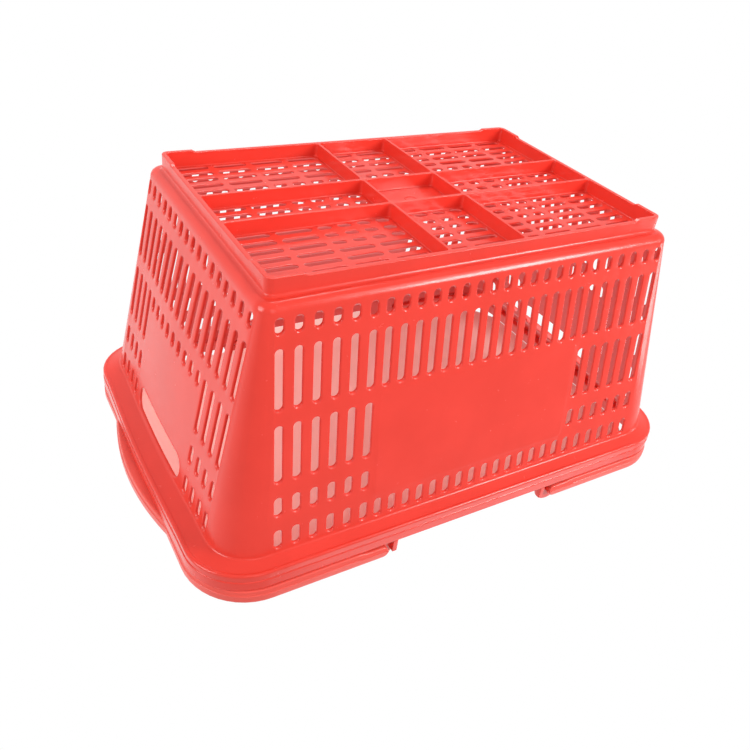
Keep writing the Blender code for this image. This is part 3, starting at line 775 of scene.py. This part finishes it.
def add(tree, kind, links=(), **settings):
    """Adds a node: settings are its properties or input values, links are (its input, another's output)."""
    node = tree.nodes.new(kind)
    for name, value in settings.items():
        if hasattr(node, name):
            setattr(node, name, value)
        else:
            node.inputs[name.replace("_", " ")].default_value = value
    for name, output in links:
        tree.links.new(node.inputs[name], output)
    return node


def blank(block):
    """The emptied node tree of a new material or world."""
    block.use_nodes = True
    block.node_tree.nodes.clear()
    return block.node_tree


def moulded_polypropylene(name, colour, roughness):
    """Polypropylene copolymer, injection moulded in a polished tool: a waxy gloss, a faint ripple where it
    shrank behind the ribs, and a colour that is a little paler and dustier in patches from handling."""
    # Patches 45 mm across, scuffs 6 mm, ripple 11 mm, and the tool's grain, drawn at 0.7 mm so that it shows
    material = bpy.data.materials.new(name)
    tree = blank(material)
    place = add(tree, "ShaderNodeTexCoord").outputs["Object"]
    patches, scuffs, ripple, grain = (
        add(tree, "ShaderNodeTexNoise", [("Vector", place)], Scale=1 / (size * MM), Detail=detail,
            Roughness=rough)
        for size, detail, rough in ((45, 3.0, 0.5), (6, 5.0, 0.6), (11, 2.0, 0.4), (0.7, 1.0, 0.5)))
    base = linear(colour)
    pale = tuple(min(1, c * 1.12 + 0.008) for c in base[:3]) + (1.0,)
    deep = tuple(c * 0.93 for c in base[:3]) + (1.0,)
    tone = add(tree, "ShaderNodeMix", [("Factor", patches.outputs["Fac"])], data_type="RGBA")
    tone.inputs[6].default_value = deep
    tone.inputs[7].default_value = pale
    gloss = add(tree, "ShaderNodeMapRange", [("Value", scuffs.outputs["Fac"])], From_Min=0.3, From_Max=0.75,
                To_Min=roughness - 0.05, To_Max=roughness + 0.09)
    broad = add(tree, "ShaderNodeBump", [("Height", ripple.outputs["Fac"])], Strength=0.35, Distance=0.0003)
    fine = add(tree, "ShaderNodeBump",
               [("Height", grain.outputs["Fac"]), ("Normal", broad.outputs["Normal"])],
               Strength=0.25, Distance=0.00004)
    shader = add(tree, "ShaderNodeBsdfPrincipled",
                 [("Base Color", tone.outputs[2]), ("Roughness", gloss.outputs["Result"]),
                  ("Normal", fine.outputs["Normal"])], IOR=1.49, Metallic=0.0)
    add(tree, "ShaderNodeOutputMaterial", [("Surface", shader.outputs["BSDF"])])
    return material


def stage_paper(name, colour, seen_from_below, glow=(0.0, 0.0)):
    """Matt studio paper that only shows from one side, so that the room stays open on the other.  glow is
    light painted on it as an emission, at its middle and towards its -X, -Y corner: an even brightness on the
    floor, and in the mouth a painted glow that stands in for the light coming in through the slots."""
    material = bpy.data.materials.new(name)
    tree = blank(material)
    back = add(tree, "ShaderNodeNewGeometry").outputs["Backfacing"]
    place = add(tree, "ShaderNodeTexCoord").outputs["Object"]
    axes = add(tree, "ShaderNodeSeparateXYZ", [("Vector", place)]).outputs
    across = add(tree, "ShaderNodeMath", [(0, axes["X"]), (1, axes["Y"])], operation="ADD")
    level = add(tree, "ShaderNodeMapRange", [("Value", across.outputs["Value"])], From_Min=0.0,
                From_Max=-0.26, To_Min=glow[0], To_Max=glow[1])
    # Emission painted on the paper: even on the floor, and on the mouth card a painted glow that grows
    # towards -X, -Y.
    light = add(tree, "ShaderNodeEmission", [("Strength", level.outputs["Result"])], Color=linear(colour))
    matt = add(tree, "ShaderNodeBsdfDiffuse", Color=linear(colour))
    paper = add(tree, "ShaderNodeAddShader", [(0, matt.outputs["BSDF"]), (1, light.outputs["Emission"])])
    clear = add(tree, "ShaderNodeBsdfTransparent")
    front, rear = (clear.outputs["BSDF"], paper.outputs["Shader"])[::1 if seen_from_below else -1]
    mix = add(tree, "ShaderNodeMixShader", [("Fac", back), (1, front), (2, rear)])
    add(tree, "ShaderNodeOutputMaterial", [("Surface", mix.outputs["Shader"])])
    return material


def room_world(strength):
    """A room with a white sweep behind and under the object and a darker side before it: the light from
    direction d goes up with 0.6 * d.z - 0.8 * d.y.  The camera itself sees plain white."""
    world = bpy.data.worlds.new("white room")
    tree = blank(world)
    towards = add(tree, "ShaderNodeTexCoord").outputs["Generated"]
    slope = add(tree, "ShaderNodeVectorMath", [(0, towards)], operation="DOT_PRODUCT")
    slope.inputs[1].default_value = (0.0, -0.8, 0.6)
    level = add(tree, "ShaderNodeMapRange", [("Value", slope.outputs["Value"])], From_Min=-0.2, From_Max=0.8,
                To_Min=strength * 0.5, To_Max=strength * 1.15)
    room = add(tree, "ShaderNodeBackground", [("Strength", level.outputs["Result"])], Color=(1, 1, 1, 1))
    backdrop = add(tree, "ShaderNodeBackground", Color=(1, 1, 1, 1), Strength=1.0)
    seen = add(tree, "ShaderNodeLightPath").outputs["Is Camera Ray"]
    mix = add(tree, "ShaderNodeMixShader",
              [("Fac", seen), (1, room.outputs["Background"]), (2, backdrop.outputs["Background"])])
    add(tree, "ShaderNodeOutputWorld", [("Surface", mix.outputs["Shader"])])
    return world


# ---------------------------------------------------------------- operators


class BASKET_OT_tub(bpy.types.Operator):
    """Builds the slotted tub as one moulding, in place of the frame's regions of it"""

    bl_idname = "basket.tub"
    bl_label = "Build tub"

    def execute(self, context):
        sizes = context.scene.basket_tub
        material = moulded_polypropylene("moulded polypropylene, tub", sizes.colour, 0.2)
        tub = build_tub(sizes, material)
        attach(tub, "basket")
        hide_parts(*frame["record"]["behaviour"]["bodies"]["basket"])
        return {"FINISHED"}


class BASKET_OT_handles(bpy.types.Operator):
    """Builds the two bail handles on their hinge bodies"""

    bl_idname = "basket.handles"
    bl_label = "Build handles"

    def execute(self, context):
        sizes = context.scene.basket_handles
        # The handle colour carries a painted sheen: it is paler than the tub's red, in place of reflected
        # white light.
        material = moulded_polypropylene("moulded polypropylene, handle", sizes.colour, 0.32)
        for side in ("left", "right"):
            bail = build_handle(f"bail_{side}", f"{side}_handle", sizes, material)
            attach(bail, f"{side}_handle")
            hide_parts(f"handle_{side}")
        return {"FINISHED"}


def stage_sheet(name, points, material):
    """One flat polygon of the stage, which the light passes and only the camera sees."""
    mesh = bpy.data.meshes.new(name)
    mesh.from_pydata(points, [], [tuple(range(len(points)))])
    mesh.materials.append(material)
    obj = bpy.data.objects.new(name, mesh)
    bpy.context.scene.collection.objects.link(obj)
    obj.visible_shadow = obj.visible_diffuse = obj.visible_glossy = obj.visible_transmission = False
    return obj


def soft_light(name, place, target, size, power):
    """A round area light of the given width at place, facing the target."""
    light = bpy.data.lights.new(name, "AREA")
    light.shape, light.size, light.energy = "DISK", size, power
    obj = bpy.data.objects.new(name, light)
    obj.location = place
    obj.rotation_euler = (Vector(target) - Vector(place)).to_track_quat("-Z", "Y").to_euler()
    bpy.context.scene.collection.objects.link(obj)
    return obj


class BASKET_OT_stage(bpy.types.Operator):
    """Sets out the floor, the room's light and the camera"""

    bl_idname = "basket.stage"
    bl_label = "Set the stage"

    def execute(self, context):
        scene = context.scene
        settings = scene.basket_stage
        square = [(x * STAGE_HALF, y * STAGE_HALF, 0) for x, y in ((-1, -1), (1, -1), (1, 1), (-1, 1))]
        card = [(x * MM, y * MM, CARD_HIGH) for x, y in CARD_OUTLINE]
        flap = [(x, FLAP_Y, z) for x, z in ((-FLAP_HALF, CARD_LOW), (FLAP_HALF, CARD_LOW),
                                            (FLAP_HALF, CARD_HIGH), (-FLAP_HALF, CARD_HIGH))]
        paper = stage_paper("studio paper, floor", settings.floor_colour, False, (0.5, 0.5))
        # Mouth card and flap: painted pink with a painted glow, standing in for the red light and shade
        # inside the basket.
        card_paper_painted_glow = stage_paper("studio paper, in the mouth", settings.card_colour_painted_glow, True, (0.12, 0.45))
        stage_sheet("floor", square, paper)
        stage_sheet("mouth_card", card, card_paper_painted_glow)
        stage_sheet("mouth_flap", flap, card_paper_painted_glow)
        for name, place, size, share in LIGHTS:
            soft_light(name, place, TUB_MIDDLE, size, settings.key * share)
        scene.world = room_world(settings.world)
        scene.view_settings.view_transform = "Standard"
        lens = bpy.data.cameras.new("camera")
        lens.sensor_width, lens.lens, lens.clip_start = 36.0, settings.lens, 0.01
        camera = bpy.data.objects.new("camera", lens)
        camera.location = settings.camera_place
        camera.rotation_euler = settings.camera_turn
        scene.collection.objects.link(camera)
        scene.camera = camera
        return {"FINISHED"}


class BASKET_PT_panel(bpy.types.Panel):
    """Lists the basket's operators and sizes"""

    bl_label = "Hand basket"
    bl_idname = "BASKET_PT_panel"
    bl_space_type = "VIEW_3D"
    bl_region_type = "UI"
    bl_category = "Basket"

    def draw(self, context):
        for operator, settings in STEPS:
            box = self.layout.box()
            for name in getattr(context.scene, settings).bl_rna.properties.keys():
                if name not in ("name", "rna_type"):
                    box.prop(getattr(context.scene, settings), name)
            box.operator(operator)


STEPS = (("basket.tub", "basket_tub"), ("basket.handles", "basket_handles"), ("basket.stage", "basket_stage"))
CLASSES = (TubSizes, HandleSizes, StageSettings, BASKET_OT_tub, BASKET_OT_handles, BASKET_OT_stage,
           BASKET_PT_panel)


def register():
    for cls in CLASSES:
        bpy.utils.register_class(cls)
    bpy.types.Scene.basket_tub = PointerProperty(type=TubSizes)
    bpy.types.Scene.basket_handles = PointerProperty(type=HandleSizes)
    bpy.types.Scene.basket_stage = PointerProperty(type=StageSettings)


def unregister():
    for name in ("basket_tub", "basket_handles", "basket_stage"):
        delattr(bpy.types.Scene, name)
    for cls in reversed(CLASSES):
        bpy.utils.unregister_class(cls)


def main():
    register()
    bpy.ops.basket.tub()
    bpy.ops.basket.handles()
    bpy.ops.basket.stage()


if __name__ == "__main__":
    main()
